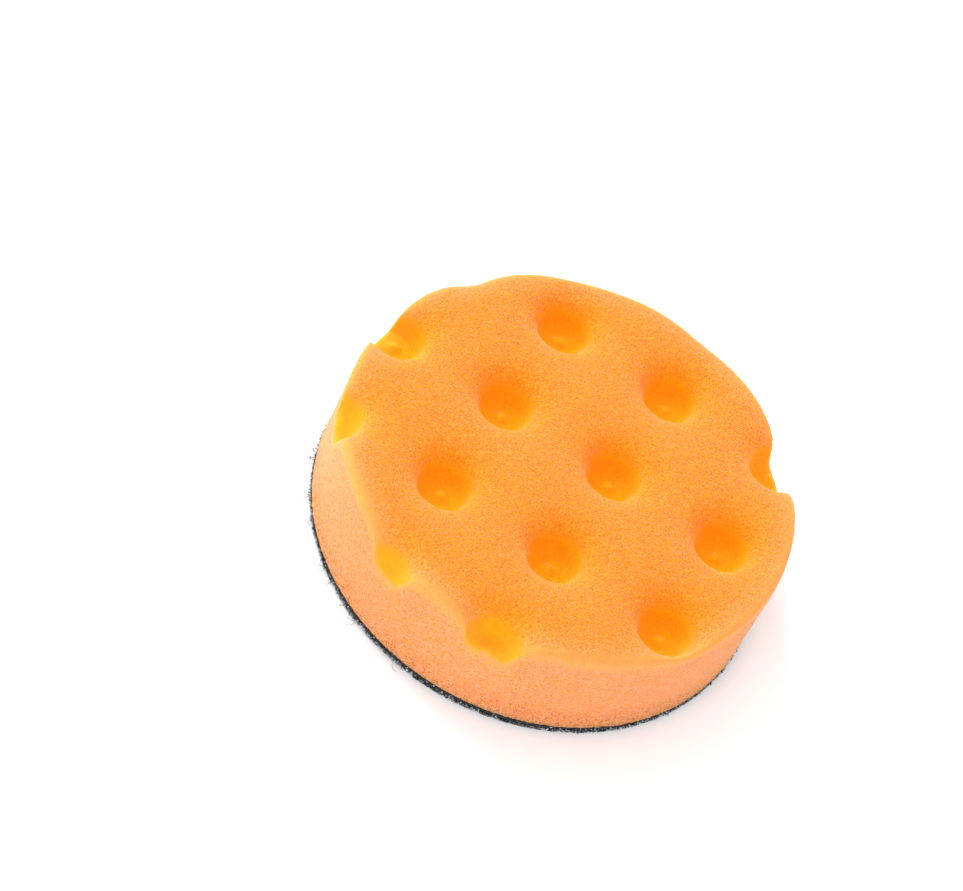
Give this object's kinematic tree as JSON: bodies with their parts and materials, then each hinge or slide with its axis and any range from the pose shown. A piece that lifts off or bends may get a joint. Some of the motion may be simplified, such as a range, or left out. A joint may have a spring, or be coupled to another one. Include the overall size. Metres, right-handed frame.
{
  "type": "polishing pad",
  "caption": "Round orange foam polishing pad with a square pattern of moulded pits in its working face and a black loop-pile fabric back for a hook-faced backing plate.",
  "frame": {"origin": "centre of the loop back's outer face, where the pad meets its backing plate", "axes": "+Z out of the working face, along the pad's axis; +X and +Y along the rows and columns of the pit pattern"},
  "size_m": [0.08, 0.08, 0.0222],
  "materials": {
    "orange_foam": "matte",
    "glue_film": "satin",
    "black_knit": "matte",
    "black_pile": "matte"
  },
  "bodies": {
    "root": {"foam_body": "orange_foam", "glue_film": "glue_film", "ground_cloth": "black_knit", "loop_pile": "black_pile"}
  },
  "joints": []
}
